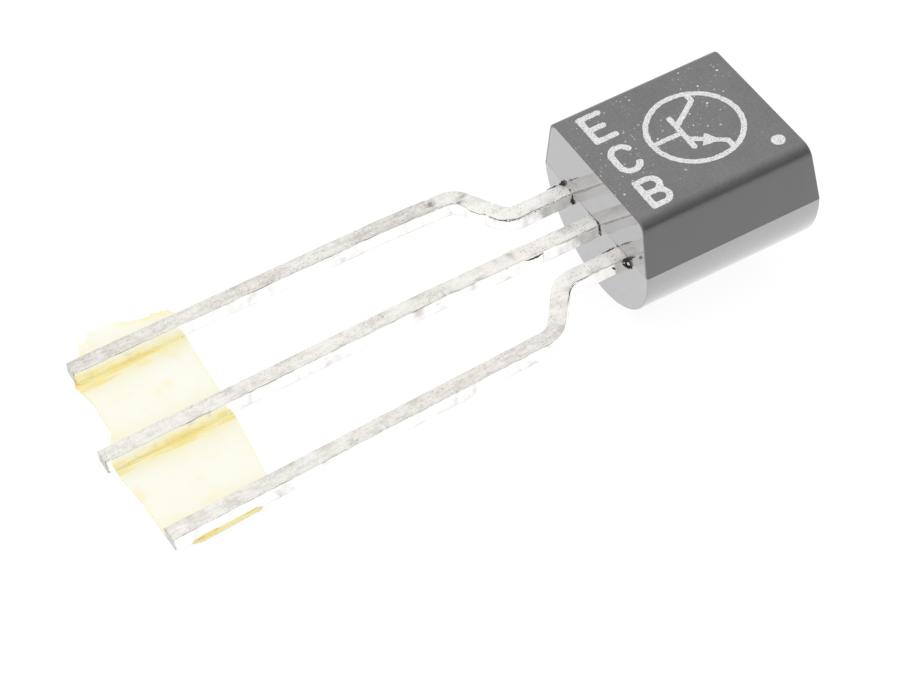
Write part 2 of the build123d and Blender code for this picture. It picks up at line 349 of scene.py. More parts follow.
def makeCamera():
    data = bpy.data.cameras.new("photoCamera")
    data.lens = camera["lens"]
    data.sensor_width = camera["sensor"]
    data.sensor_fit = "HORIZONTAL"
    data.clip_start, data.clip_end = camera["clip"]
    obj = newObject("photoCamera", data)
    along = turn @ Vector(camera["along"])
    right = turn @ Vector(camera["right"])
    aim = Matrix((right, right.cross(along), -along)).transposed()
    obj.matrix_world = Matrix.Translation(place @ Vector(camera["at"])) @ aim.to_4x4()
    bpy.context.scene.camera = obj


# White table, white room and one soft lamp
studio = {
    "tableHalf": 1.5, "tableColour": 0.82, "tableShown": 0.15, "tableGlow": 0.90, "room": 0.86, "roomShown": 1.0,
    "dimWay": (0.16, -0.60, 0.78), "dimRange": (0.62, 0.86), "dimShare": 0.06, "lampPower": 0.30, "lampSize": 0.36,
    "lampAt": (-0.18, -0.05, 0.355),
}


def makeTable():
    bm = bmesh.new()
    bmesh.ops.create_grid(bm, x_segments=1, y_segments=1, size=studio["tableHalf"])
    table = newObject("whiteTable", meshFrom(bm, "whiteTable"))
    material, tree, shader = startMaterial("tableWhite")
    tree.nodes.remove(shader)
    real, shown = [put(tree, "ShaderNodeBsdfDiffuse", {"Color": (studio[key],) * 3 + (1,)})
                   for key in ("tableColour", "tableShown")]
    glow = put(tree, "ShaderNodeEmission", {"Strength": studio["tableGlow"]})
    both = put(tree, "ShaderNodeAddShader", {0: shown, 1: glow})
    rays = put(tree, "ShaderNodeLightPath", {}).outputs
    seen = combine("MAXIMUM", rays["Is Camera Ray"], rays["Is Glossy Ray"])
    seen = combine("MAXIMUM", seen, rays["Is Transmission Ray"])
    choose = put(tree, "ShaderNodeMixShader", {"Fac": seen, 1: real, 2: both})
    feed(tree.nodes["Material Output"], {"Surface": choose})
    table.data.materials.append(material)


def makeRoom():
    world = bpy.data.worlds.new("whiteRoom")
    world.use_nodes = True
    bpy.context.scene.world = world
    tree = world.node_tree
    # a dark card stands beside the white room: first reflections show it, soft light comes from all round
    facing = put(tree, "ShaderNodeVectorMath", {
        0: put(tree, "ShaderNodeTexCoord", {}).outputs["Generated"],
        1: turn @ Vector(studio["dimWay"]).normalized(),
    }, operation="DOT_PRODUCT")
    dim = spread(facing.outputs["Value"], *studio["dimRange"], studio["roomShown"], studio["dimShare"])
    rays = put(tree, "ShaderNodeLightPath", {}).outputs
    shown = combine("MAXIMUM", rays["Is Glossy Ray"], rays["Is Transmission Ray"])
    shown = times(shown, combine("LESS_THAN", rays["Diffuse Depth"], 0.5))
    soft = spread(shown, 0, 1, studio["room"], 0)
    strength = combine("MAXIMUM", plus(soft, times(dim, shown)), rays["Is Camera Ray"])
    feed(tree.nodes["Background"], {"Color": (1, 1, 1, 1), "Strength": strength})


def makeLamp():
    data = bpy.data.lights.new("softLamp", "AREA")
    data.shape = "DISK"
    data.size = studio["lampSize"]
    data.energy = studio["lampPower"]
    lamp = newObject("softLamp", data)
    lamp.location = studio["lampAt"]
    lamp.rotation_euler = (-Vector(studio["lampAt"])).to_track_quat("-Z", "Y").to_euler()


makeCamera()
makeTable()
makeRoom()
makeLamp()
bpy.context.scene.view_settings.view_transform = "Standard"
print("camera, table and light set")

# Moulded body: two halves that meet at the parting plane with a fine groove between them
body = {
    "frontDraft": 0.11, "backDraft": 0.05, "longRadius": 0.33, "rimRadius": 0.035, "flatMargin": 0.04,
    "groove": 0.007, "roundSteps": 10, "backSteps": 40, "rimSteps": 5, "lengthSteps": 12,
}


def frontProfile():
    half = package["width"] / 2
    flat = package["flat"] / 2
    high = package["front"]
    radius = body["longRadius"]
    groove = body["groove"]
    steps = body["roundSteps"]
    lean = math.atan2(high, half - flat)  # the wall's slope at the flat's corner
    reach = radius / math.tan((math.pi - lean) / 2)
    centre = Vector((flat - reach, high - radius))
    angles = [math.pi / 2 - lean + lean * i / steps for i in range(steps + 1)]
    corner = [centre + radius * Vector((math.cos(a), math.sin(a))) for a in angles]
    slope = (half - flat) / high
    right = [(half - groove, 0), (half - slope * groove, groove)] + [tuple(p) for p in corner]
    points = right + [(-y, z) for y, z in reversed(right)]
    matte = [0, 0] + [i / steps for i in range(steps + 1)]
    return points, matte + list(reversed(matte))


def backProfile():
    half = package["width"] / 2
    straight = package["back"] - half
    groove = body["groove"]
    angles = [math.pi * i / body["backSteps"] for i in range(body["backSteps"] + 1)]
    arc = [(half * math.cos(a), -straight - half * math.sin(a)) for a in angles]
    points = [(half - groove, 0), (half, -groove)] + arc + [(-half, -groove), (-half + groove, 0)]
    return points, [0] * len(points)


def inset(points, amount):
    moved = []
    for i, point in enumerate(points):
        before = Vector(point) - Vector(points[i - 1])
        after = Vector(points[(i + 1) % len(points)]) - Vector(point)
        middle = (before.normalized() + after.normalized()).normalized()
        inward = Vector((-middle.y, middle.x))
        bend = max(0.5, inward.dot(Vector((-before.y, before.x)).normalized()))
        moved.append(Vector(point) + inward * amount / bend)
    return moved


def addHalf(bm, points, matte, draft, deep, layer):
    area = sum(a[0] * b[1] - b[0] * a[1] for a, b in zip(points, points[1:] + points[:1]))
    if area < 0:
        points = list(reversed(points))
        matte = list(reversed(matte))
    length = package["length"]
    radius = body["rimRadius"]
    stations = [(0, radius + body["flatMargin"])]
    for i in range(body["rimSteps"] + 1):
        angle = math.pi / 2 * i / body["rimSteps"]
        stations.append((radius * (1 - math.cos(angle)), radius * (1 - math.sin(angle))))
    run = length - 2 * radius
    inner = [(radius + run * i / body["lengthSteps"], 0) for i in range(1, body["lengthSteps"])]
    rings = []
    for x, shrink in stations + inner + [(length - x, shrink) for x, shrink in reversed(stations)]:
        ring = []
        for point, start, share in zip(inset(points, shrink), points, matte):
            if abs(start[1]) <= body["groove"]:  # the parting edges keep sharp
                point = Vector((start[0] - math.copysign(shrink, start[0]), start[1]))
            lean = draft * abs(point.y) / deep
            span = (length - 2 * lean) / length
            vertex = bm.verts.new((lean + x * span, point.x, point.y))
            vertex[layer] = share
            ring.append(vertex)
        rings.append(ring)
    for first, second in zip(rings, rings[1:]):
        for i in range(len(first)):
            j = (i + 1) % len(first)
            bm.faces.new((first[i], first[j], second[j], second[i]))
    for ring in (rings[0], rings[-1]):
        bm.faces.new(ring).material_index = 1


def makeBody():
    bm = bmesh.new()
    layer = bm.verts.layers.float.new("matte")
    addHalf(bm, *frontProfile(), body["frontDraft"], package["front"], layer)
    addHalf(bm, *backProfile(), body["backDraft"], package["back"], layer)
    for face in bm.faces:
        if face.calc_center_median().z < -body["groove"] / 2:
            face.material_index = 1
    settle("mouldedBody", meshFrom(bm, "mouldedBody"), [faceMaterial, polishMaterial], "package_body", 32)


makeBody()

# Leads: a rounded strip swept along each route by one node tree.
# Each lead's table gives how much darker its tin is made at places along x, from its body end to its tip.
lead = {
    "width": 0.45, "thickness": 0.40, "level": -0.20, "edgeRadius": 0.022, "edgeSteps": 3, "bendSteps": 14,
    "step": 0.05, "ripple": 0.07, "pitch": 1.27, "formed": 2.60, "tipBevel": 0.08, "stub": 0.04, "stubPlace": 1.80,
    "stubLength": 0.50, "stubSteps": 11,
}
emitter = {
    "length": 12.57, "jogStart": 1.65, "jogAngle": 60, "jogRadius": 0.50, "bow": 0.06, "bowPlace": 4.20,
    "bowRadius": 6.0, "seed": 3, "pitsAndPaintedLight": 0.5,
    "darkening": [
        (-2.0, 0), (-2.6, 0.12), (-3.5, 1.1), (-4.8, 1.1), (-5.6, 0.55), (-8.5, 0.42), (-9.5, 0.33), (-10.8, 0.38),
        (-12.6, 0.6),
    ],
}
collector = {
    "length": 13.02, "bendPlace": 4.60, "bendRadius": 20.0, "drift": 0.23, "seed": 8, "pitsAndPaintedLight": 0.15,
    "darkening": [(-3.0, 0), (-4.2, 0.32), (-5.2, 0.15), (-8.0, 0.15), (-13.1, 0.20)],
}
base = {
    "length": 12.66, "jogStart": 1.68, "jogAngle": 55, "jogRadius": 0.62, "splay": 0.45, "seed": 5, "pitsAndPaintedLight": 0.10,
    "darkening": [(-2.0, 0), (-2.8, 0.38), (-6.5, 0.42), (-8.0, 0.20), (-10.0, 0.32), (-11.0, 0.15), (-12.7, 0.05)],
}
inside = {
    "start": 0.95, "postLength": 1.40, "postWidth": 0.80, "postShift": 0.14, "holePlace": 1.25, "holeRadius": 0.15,
    "paddleLength": 2.00, "paddleWidth": 1.40, "notchPlace": 1.30, "notchRadius": 0.14, "corner": 0.10,
    "outlineStep": 0.12,
}
ripple = {"scale": 2.4, "detail": 4.0, "roughness": 0.6, "centre": 0.72, "share": (1, 1, 0.08)}


def jogEnd(settings):
    return settings["jogStart"] + (lead["formed"] - lead["pitch"]) / math.tan(math.radians(settings["jogAngle"]))


def startTree(name, numbers, counts):
    tree = bpy.data.node_groups.new(name, "GeometryNodeTree")
    kinds = [("Route", "Geometry")] + [(key, "Float") for key in numbers] + [(key, "Int") for key in counts]
    sockets = {}
    for key, kind in kinds + [("Finish", "Material")]:
        sockets[key] = tree.interface.new_socket(key, in_out="INPUT", socket_type="NodeSocket" + kind)
    tree.interface.new_socket("Shape", in_out="OUTPUT", socket_type="NodeSocketGeometry")
    return tree, sockets, put(tree, "NodeGroupInput", {}).outputs


def endTree(tree, shape, finish):
    realize = put(tree, "GeometryNodeRealizeInstances", {"Geometry": shape})
    dressed = put(tree, "GeometryNodeSetMaterial", {"Geometry": realize, "Material": finish})
    put(tree, "NodeGroupOutput", {"Shape": dressed})


def shapeRoutes(name, routes, tree, sockets, values):
    # the tree's result along the routes of (x, y, z, radius) points, as a plain mesh
    curve = bpy.data.curves.new(name, "CURVE")
    curve.dimensions = "3D"
    for route in routes:
        spline = curve.splines.new("POLY")
        spline.points.add(len(route) - 1)
        for point, (x, y, z, radius) in zip(spline.points, route):
            point.co = (x, y, z, 1)
            point.radius = radius
    obj = newObject(name + "Routes", curve)
    modifier = obj.modifiers.new("shape", "NODES")
    modifier.node_group = tree
    for key, value in values.items():
        modifier[sockets[key].identifier] = value
    graph = bpy.context.evaluated_depsgraph_get()
    mesh = bpy.data.meshes.new_from_object(obj.evaluated_get(graph), depsgraph=graph)
    bpy.data.objects.remove(obj)
    return mesh


def makeSweepTree():
    numbers = ("Width", "Thickness", "Edge radius", "Step", "Ripple")
    tree, sockets, given = startTree("leadSweep", numbers, ("Edge steps", "Bend steps", "Seed"))
    radius = put(tree, "GeometryNodeInputRadius", {})
    bends = {"Curve": given["Route"], "Count": given["Bend steps"], "Radius": radius}
    bent = put(tree, "GeometryNodeFilletCurve", bends, mode="POLY")
    even = put(tree, "GeometryNodeResampleCurve", {"Curve": bent, "Length": given["Step"]}, mode="LENGTH")
    line = put(tree, "GeometryNodeSetCurveRadius", {"Curve": even, "Radius": 1.0})
    upright = put(tree, "GeometryNodeSetCurveNormal", {"Curve": line}, mode="Z_UP")
    sizes = {"Width": given["Width"], "Height": given["Thickness"]}
    section = put(tree, "GeometryNodeCurvePrimitiveQuadrilateral", sizes)
    corners = {"Curve": section, "Count": given["Edge steps"], "Radius": given["Edge radius"]}
    rounded = put(tree, "GeometryNodeFilletCurve", corners, mode="POLY")
    sweep = put(tree, "GeometryNodeCurveToMesh", {"Curve": upright, "Profile Curve": rounded, "Fill Caps": True})
    # the edges waver inwards, so that the strip keeps inside its size, and the top and underside hardly do
    texture = put(tree, "ShaderNodeTexNoise", {
        "Vector": put(tree, "GeometryNodeInputPosition", {}), "W": given["Seed"],
        "Scale": ripple["scale"], "Detail": ripple["detail"], "Roughness": ripple["roughness"],
    }, noise_dimensions="4D")
    amount = times(combine("SUBTRACT", texture, ripple["centre"]), given["Ripple"])
    normal = put(tree, "GeometryNodeInputNormal", {}).outputs["Normal"]
    level = put(tree, "ShaderNodeVectorMath", {0: normal, 1: ripple["share"]}, operation="MULTIPLY")
    push = put(tree, "ShaderNodeVectorMath", {0: level, "Scale": amount}, operation="SCALE")
    endTree(tree, put(tree, "GeometryNodeSetPosition", {"Geometry": sweep, "Offset": push}), given["Finish"])
    return tree, sockets


sweepTree, sweepSockets = makeSweepTree()


def sweepRoute(name, route, bends, seed, strip, finish):
    points = [(x, y, strip["level"], radius) for (x, y), radius in zip(route, [0] + bends + [0])]
    keys = ("width", "thickness", "edgeRadius", "step", "ripple", "edgeSteps")
    names = ("Width", "Thickness", "Edge radius", "Step", "Ripple", "Edge steps")
    sizes = {socket: strip[key] for socket, key in zip(names, keys)}
    sizes.update({"Bend steps": lead["bendSteps"], "Seed": seed, "Finish": finish})
    return shapeRoutes(name, [points], sweepTree, sweepSockets, sizes)


def arcPoints(centre, radius, start, end, steps=14):
    angles = [math.radians(start + (end - start) * i / steps) for i in range(steps + 1)]
    return [(centre[0] + radius * math.cos(a), centre[1] + radius * math.sin(a)) for a in angles]


def plateOutline(line, length, width, notched=False):
    corner = inside["corner"]
    radius = inside["notchRadius"]
    outline = []
    for sx, sy, first in ((1, 1, 0), (-1, 1, 90), (-1, -1, 180), (1, -1, 270)):
        x = inside["start"] + length / 2 + sx * (length / 2 - corner)
        outline += arcPoints((x, line + sy * (width / 2 - corner)), corner, first, first + 90, 4)
        if notched and sx == sy:
            notch = (inside["notchPlace"], line + sy * width / 2)
            outline += arcPoints(notch, radius, 90 - 90 * sy, -90 - 90 * sy, 10)
    dense = []
    for a, b in zip(outline, outline[1:] + outline[:1]):
        count = max(1, round((Vector(b) - Vector(a)).length / inside["outlineStep"]))
        dense += [Vector(a).lerp(Vector(b), k / count) for k in range(count)]
    return dense


def addPlate(bm, outline, hole=None):
    rims = []
    for z in (0, -lead["thickness"]):
        rims.append([bm.verts.new((p.x, p.y, z)) for p in outline])
        if hole:
            ring = [hole + inside["holeRadius"] * (p - hole).normalized() for p in outline]
            rims.append([bm.verts.new((*p, z)) for p in ring])
    top, low = rims[0], rims[2 if hole else 1]
    for i in range(len(top)):
        j = (i + 1) % len(top)
        bm.faces.new((top[i], low[i], low[j], top[j]))
        if hole:
            bm.faces.new((top[i], top[j], rims[1][j], rims[1][i]))
            bm.faces.new((low[j], low[i], rims[3][i], rims[3][j]))
            bm.faces.new((rims[1][i], rims[1][j], rims[3][j], rims[3][i]))
    if not hole:
        bm.faces.new(top)
        bm.faces.new(list(reversed(low)))


def addRemnant(bm, middle, angle, side, tear, flank):
    # What the shears left of the tie bar: a short stub with a dark torn line under its top edge
    along = Vector((math.cos(angle), math.sin(angle), 0))
    across = side * Vector((along.y, -along.x, 0))
    rng = random.Random(round(100 * middle[0]))
    steps = lead["stubSteps"]
    half = lead["width"] / 2
    root = half - 0.07
    under = -lead["thickness"]
    rows = []
    for i in range(steps):
        share = i / (steps - 1) - 0.5
        out = half + lead["stub"] * rng.uniform(0.5, 0.98) * min(1, 5 * (0.5 - abs(share)) + 0.1)
        start = Vector((middle[0], middle[1], 0)) + along * share * lead["stubLength"]
        line = 0.015 + tear * rng.uniform(0.7, 1.0) * (1 - 4 * share * share)  # torn deepest in the middle
        row = []
        for y, z, steep in ((root, -0.004, 0), (out, -0.008, 0), (out, -line, 1),
                            (out - 0.01, 0.03 + under, 1), (root, 0.02 + under, 1)):
            vertex = bm.verts.new(start + across * y + Vector((0, 0, z)))
            vertex[flank] = steep
            row.append(vertex)
        rows.append(row)
    bm.faces.new(rows[0])
    bm.faces.new(list(reversed(rows[-1])))
    for first, second in zip(rows, rows[1:]):
        for i in range(5):
            j = (i + 1) % 5
            bm.faces.new((first[i], first[j], second[j], second[i])).material_index = 1 if i == 1 else 0


def darkeningAt(darkening, x):
    share = darkening[0][1] if x > darkening[0][0] else darkening[-1][1]
    for (x0, first), (x1, second) in zip(darkening, darkening[1:]):
        if x1 <= x <= x0:
            share = first + (second - first) * (x - x0) / (x1 - x0)
    return share


def makeLead(name, node, route, bends, settings, plate, hole=None, remnants=()):
    bm = bmesh.new()
    bm.from_mesh(sweepRoute(name, route, bends, settings["seed"], lead, tinMaterial))
    tip = -settings["length"]
    for vertex in bm.verts:  # the shears' bevel under the tip
        rise = lead["tipBevel"] - (vertex.co.x - tip)
        if rise > 0:
            vertex.co.z = max(vertex.co.z, rise - lead["thickness"])
    bm.normal_update()
    darkened, flank, near = [bm.verts.layers.float.new(key) for key in ("darkened", "flank", "near")]
    for vertex in bm.verts:
        x = vertex.co.x
        sheared = x < tip + 0.1 and vertex.normal.x < -0.5
        # near brings more pits, and also the painted light on the tops and the painted reflection on the sides made
        # next to the body
        vertex[near] = min(1, max(0, 1 + (x + 0.4) / 1.6, settings["pitsAndPaintedLight"] * min(1, (x + 9) / 2)))
        vertex[darkened] = 1 if sheared else darkeningAt(settings["darkening"], x)
        vertex[flank] = 0 if sheared else 1 - abs(vertex.normal.z)
    addPlate(bm, plate, hole)
    for remnant in remnants:
        addRemnant(bm, *remnant, flank)
    settle(name, meshFrom(bm, name), [tinMaterial, plainMaterials["cutMetal"]], node, 50)


def makeLeads():
    start = inside["start"] + 0.05
    pitch, formed = lead["pitch"], lead["formed"]
    line = pitch + inside["postShift"]
    # each lead's route as (x, y) points; a remnant is its middle, its run's angle, its side and how deep it tore
    end = jogEnd(emitter)
    route = [(start, pitch), (-emitter["jogStart"], pitch), (-end, formed),
             (-emitter["bowPlace"], formed + emitter["bow"]), (-emitter["length"], formed)]
    jogMiddle = (-(emitter["jogStart"] + end) / 2, (pitch + formed) / 2)
    makeLead("emitterLead", "emitter_lead", route, [emitter["jogRadius"]] * 2 + [emitter["bowRadius"]], emitter,
             plateOutline(line, inside["postLength"], inside["postWidth"]), Vector((inside["holePlace"], line)),
             [(jogMiddle, -math.radians(emitter["jogAngle"]), 1, 0.02)])
    route = [(start, 0), (-collector["bendPlace"], 0), (-collector["length"], -collector["drift"])]
    stub = -lead["stubPlace"]
    makeLead("collectorLead", "collector_lead", route, [collector["bendRadius"]], collector,
             plateOutline(0, inside["paddleLength"], inside["paddleWidth"], True), None,
             [((stub, 0), 0, 1, 0.085), ((stub - 0.35, 0), 0, -1, 0.02)])
    route = [(start, -pitch), (-base["jogStart"], -pitch), (-jogEnd(base), -formed),
             (-base["length"], -formed - base["splay"])]
    makeLead("baseLead", "base_lead", route, [base["jogRadius"]] * 2, base,
             plateOutline(-line, inside["postLength"], inside["postWidth"]), Vector((inside["holePlace"], -line)))


makeLeads()

# Crumbs: dark flash where the leads come out, torn scale along their edges and bright nibs of tin.
crumbs = {"spacing": 0.016, "scatter": 0.7, "stray": (0.3, 1, 1), "smallest": 0.45, "largest": 1.1, "turn": 6.28}
# Routes over the end face and along the leads, in thousandths of a millimetre: x before the face, y, z and the
# crumbs' size at each point.
flash = {
    "name": "mouldFlash", "slot": "moulding", "finish": plainMaterials["mouldFlash"], "seed": 21,
    "routes": [
        [(0, 2200, 85, 6), (0, 1950, 45, 4), (0, 1620, -10, 6)],
        [(-90, 1480, 0, 30), (-40, 1450, 10, 52), (-10, 1410, 15, 46)],
        [(0, 1140, 400, 13), (0, 1130, 390, 10)],
        [(0, 1300, 300, 5), (0, 950, 380, 7), (0, 800, 500, 4)],
        [(0, 1380, 10, 4), (0, 1200, 10, 7), (0, 1150, 30, 24), (0, 1120, 20, 14)],
        [(0, 1080, 0, 12), (0, 1035, -100, 20), (0, 1035, -200, 16), (-20, 1030, -270, 48), (-20, 1020, -310, 46)],
        [(0, 1490, 0, 10), (0, 1500, -300, 8)],
        [(-460, 1497, -20, 8), (-340, 1498, -10, 18), (-220, 1498, -10, 20), (-160, 1497, -10, 8)],
        [(0, 950, 10, 8), (0, 620, 10, 5), (0, 330, 0, 10)],
        [(0, 280, 0, 24), (0, 250, 0, 20)],
        [(0, 150, -10, 18), (0, 120, 0, 16)],
        [(0, 240, 0, 10), (0, 20, 15, 9), (0, -90, 15, 16), (0, -160, 0, 36), (0, -210, -40, 36),
         (0, -235, -120, 20), (0, -235, -200, 26), (0, -250, -270, 14), (0, -240, -340, 24)],
        [(0, 235, -20, 10), (0, 240, -330, 8)],
        [(0, -600, 0, 4), (0, -1020, 5, 7), (0, -1300, 15, 5), (0, -1470, 0, 10)],
        [(-440, -1042, -20, 8), (-280, -1042, -10, 24), (-160, -1042, -10, 22), (-80, -1042, 0, 12)],
        [(0, -1030, 0, 20), (-30, -1040, 10, 26)],
        [(-220, -1500, -30, 8), (-110, -1510, -10, 26), (-30, -1530, 0, 48), (-10, -1600, 60, 28),
         (0, -1700, 170, 16), (0, -1800, 280, 7)],
        [(-120, -1505, -200, 18), (-60, -1520, -240, 50), (0, -1570, -250, 62), (0, -1630, -210, 34)],
        [(0, -1540, -60, 34), (0, -1580, -120, 40), (0, -1640, -180, 30)],
        [(0, -1510, -20, 24), (0, -1500, -140, 18), (0, -1500, -380, 14)],
        [(-400, -1500, -130, 24), (-370, -1500, -160, 22)],
        [(0, -1700, -20, 6), (0, -2100, 0, 4)],
        [(0, -750, -550, 8), (0, -730, -550, 6)],
        [(0, -1200, -1550, 6), (0, -1160, -1570, 7)],
    ],
}
scale = {
    "name": "leadScale", "slot": "tinned_lead", "finish": plainMaterials["cutMetal"], "seed": 4,
    "routes": [
        [(-1150, 1050, -30, 4), (-1320, 1040, -30, 8), (-1500, 1050, -40, 14), (-1724, 1130, -40, 19),
         (-1870, 1250, -40, 15), (-1980, 1390, -30, 11), (-2050, 1510, -30, 12)],
        [(-2090, 1600, -20, 17), (-2130, 1680, -10, 12)],
        [(-2240, 1880, -20, 4), (-2420, 2200, -20, 6), (-2550, 2360, -20, 11), (-2750, 2390, -20, 8),
         (-3200, 2410, -20, 9), (-3700, 2430, -20, 6), (-4100, 2450, -20, 9), (-4600, 2450, -20, 4)],
        [(-980, -220, -20, 6), (-1120, -220, -20, 10), (-1200, -220, -20, 6)],
        [(-1040, 1045, -30, 14), (-1010, 1045, -50, 11)],
        [(-800, 1045, -20, 6), (-770, 1045, -20, 7)],
        [(-600, 1045, -20, 7), (-400, 1045, -20, 6)],
        [(-360, 1070, -10, 9), (-220, 1060, -10, 16), (-100, 1060, -10, 10)],
        [(-1140, -225, -20, 4), (-950, -225, -30, 8), (-800, -225, -20, 5), (-620, -225, -20, 7)],
        [(-400, -225, -20, 4), (-120, -226, -20, 7)],
        [(-1580, -260, -30, 6), (-1740, -260, -50, 14), (-1900, -255, -50, 11), (-2020, -245, -30, 4)],
        [(-2550, -222, -30, 11), (-2520, -224, -40, 10)],
        [(-750, -1495, -20, 4), (-1100, -1494, -20, 7), (-1357, -1494, -20, 10), (-1539, -1540, -30, 16),
         (-1681, -1663, -30, 16), (-1800, -1830, -30, 9), (-1920, -2010, -30, 3)],
    ],
}
nibs = {
    "name": "tinNibs", "slot": "tinned_lead", "finish": tinMaterial, "seed": 9,
    "routes": [
        [(-1000, 1045, -50, 14), (-620, 1044, -20, 26), (-300, 1045, -40, 30), (-50, 1045, -30, 20)],
        [(-950, -225, -50, 10), (-550, -225, -30, 24), (-150, -225, -50, 14)],
        [(-130, -1510, -90, 20), (-100, -1520, -110, 24)],
        [(-75, -1610, -60, 26), (-50, -1615, -100, 36)],
        [(-420, -1505, -160, 20), (-360, -1500, -190, 24)],
        [(-2640, 2375, -300, 16), (-2600, 2375, -330, 14)],
    ],
}


def makeCrumbTree():
    tree, sockets, given = startTree("flashCrumbs", ("Spacing", "Scatter"), ("Seed",))
    radius = put(tree, "GeometryNodeInputRadius", {})
    spaced = {"Curve": given["Route"], "Length": given["Spacing"]}
    even = put(tree, "GeometryNodeResampleCurve", spaced, mode="LENGTH")

    def randomVector(low, high):
        inputs = {"Min": low, "Max": high, "Seed": given["Seed"]}
        return put(tree, "FunctionNodeRandomValue", inputs, data_type="FLOAT_VECTOR").outputs["Value"]

    def scaled(vector, scale):
        return put(tree, "ShaderNodeVectorMath", {0: vector, "Scale": scale}, operation="SCALE")

    away = randomVector([-share for share in crumbs["stray"]], crumbs["stray"])
    offset = scaled(away, times(radius, given["Scatter"]))
    strew = put(tree, "GeometryNodeSetPosition", {"Geometry": even, "Offset": offset})
    crumb = put(tree, "GeometryNodeMeshIcoSphere", {"Radius": 1.0, "Subdivisions": 1})
    size = randomVector((crumbs["smallest"],) * 3, (crumbs["largest"],) * 3)
    spin = randomVector((0, 0, 0), (crumbs["turn"],) * 3)
    strewn = {"Points": strew, "Instance": crumb, "Rotation": spin, "Scale": scaled(size, radius)}
    endTree(tree, put(tree, "GeometryNodeInstanceOnPoints", strewn), given["Finish"])
    return tree, sockets


crumbTree, crumbSockets = makeCrumbTree()


def makeCrumbs(settings):
    frontSlope = body["frontDraft"] / package["front"]
    backSlope = -body["backDraft"] / package["back"]
    routes = []
    for route in settings["routes"]:
        points = [[value / 1000 for value in point] for point in route]
        # the end face leans with the draft of each half
        routes.append([(x + z * (frontSlope if z > 0 else backSlope), y, z, size) for x, y, z, size in points])
    sizes = {"Spacing": crumbs["spacing"], "Scatter": crumbs["scatter"]}
    sizes.update({"Seed": settings["seed"], "Finish": settings["finish"]})
    mesh = shapeRoutes(settings["name"], routes, crumbTree, crumbSockets, sizes)
    settle(settings["name"], mesh, [], None, 60)


for settings in (flash, scale, nibs):
    makeCrumbs(settings)

# Tape: a torn scrap under the lead ends. Its torn end and the strip past the base lead are given as shares of
# its length and distances past the lead; the two cuts as how far they step along x beside each lead.
tape = {
    "thickness": 0.12, "thinEdge": 0.45, "thinReach": 0.12, "length": 2.90, "tip": -12.64, "step": 0.07,
    "edgeStep": 0.05,
    "torn": [
        (0.07, 0.27), (0.17, 0.62), (0.21, 0.84), (0.22, 1.04), (0.25, 0.90), (0.29, 1.02), (0.34, 1.23),
        (0.41, 1.18), (0.47, 1.23), (0.57, 1.17), (0.64, 1.06), (0.76, 0.90), (0.86, 0.91), (0.95, 0.87),
        (1.00, 0.80), (1.04, 0.66), (1.04, 0.40),
    ],
    "innerCut": (0, -0.05, -0.24), "near": [(0.74, 0.033), (0.45, 0.060), (0.24, 0.072), (0.16, 0.030)],
    "outerCut": (0, -0.05, -0.17, -0.17, 0.20, 0.20, 0.05), "fray": 0.018, "tornFray": 2.2, "cutFray": 0.5,
    "wave": 0.010, "waveScale": 1.3, "waveReach": 0.3, "seed": 11,
}


def tapeOutline():
    tip, length = tape["tip"], tape["length"]
    width, formed = lead["width"], lead["formed"]
    middle = -collector["drift"]
    end = jogEnd(base)
    fall = base["splay"] / (base["length"] + 0.5 - end)
    points = [(tip + share * length, formed + high) for share, high in tape["torn"]]
    points += [(tip + length + step, y) for step, y in zip(tape["innerCut"], (formed - width / 2, 0, -formed))]
    for share, margin in tape["near"]:
        x = tip + share * length
        points.append((x, -formed - fall * (-x - end) - width / 2 - margin))
    outer = (-formed - base["splay"] / 2, middle - formed / 2, middle - width, middle + width / 2,
             middle + 2 * width, formed - 2 * width, formed - width / 2)
    points += [(tip + step, y) for step, y in zip(tape["outerCut"], outer)]
    return [Vector(p) for p in points]


def leadLine(x, which):
    if which == "emitter":
        return lead["formed"] + emitter["bow"] * (emitter["length"] + x) / (emitter["length"] - emitter["bowPlace"])
    if which == "collector":
        run = collector["length"] - collector["bendPlace"]
        return -collector["drift"] * (-x - collector["bendPlace"]) / run
    end = jogEnd(base)
    return -lead["formed"] - base["splay"] * (-x - end) / (base["length"] - end)


def insideOutline(point, outline):
    within = False
    for a, b in zip(outline, outline[1:] + outline[:1]):
        if (a.y > point.y) != (b.y > point.y):
            if point.x < (b.x - a.x) * (point.y - a.y) / (b.y - a.y) + a.x:
                within = not within
    return within


def frayedOutline():
    rng = random.Random(tape["seed"])
    corners = tapeOutline()
    outline = []
    for i, start in enumerate(corners):
        run = corners[(i + 1) % len(corners)] - start
        count = max(1, round(run.length / tape["edgeStep"]))
        inward = Vector((run.y, -run.x)).normalized()
        rough = tape["tornFray"] if i < len(tape["torn"]) else tape["cutFray"]
        for k in range(count):
            point = start + run * k / count
            if k:
                point = point + inward * rng.uniform(0, rough) * tape["fray"]
            outline.append(point)
    return outline


def innerPoints(outline):
    low = Vector((min(p.x for p in outline), min(p.y for p in outline)))
    high = Vector((max(p.x for p in outline), max(p.y for p in outline)))
    step = tape["step"]
    inner = []
    for i in range(int((high.x - low.x) / step) + 1):
        for j in range(int((high.y - low.y) / step) + 1):
            point = Vector((low.x + (i + 0.5 * (j % 2)) * step, low.y + j * step))
            if insideOutline(point, outline) and min((point - q).length for q in outline) > 0.6 * step:
                inner.append(point)
    return inner


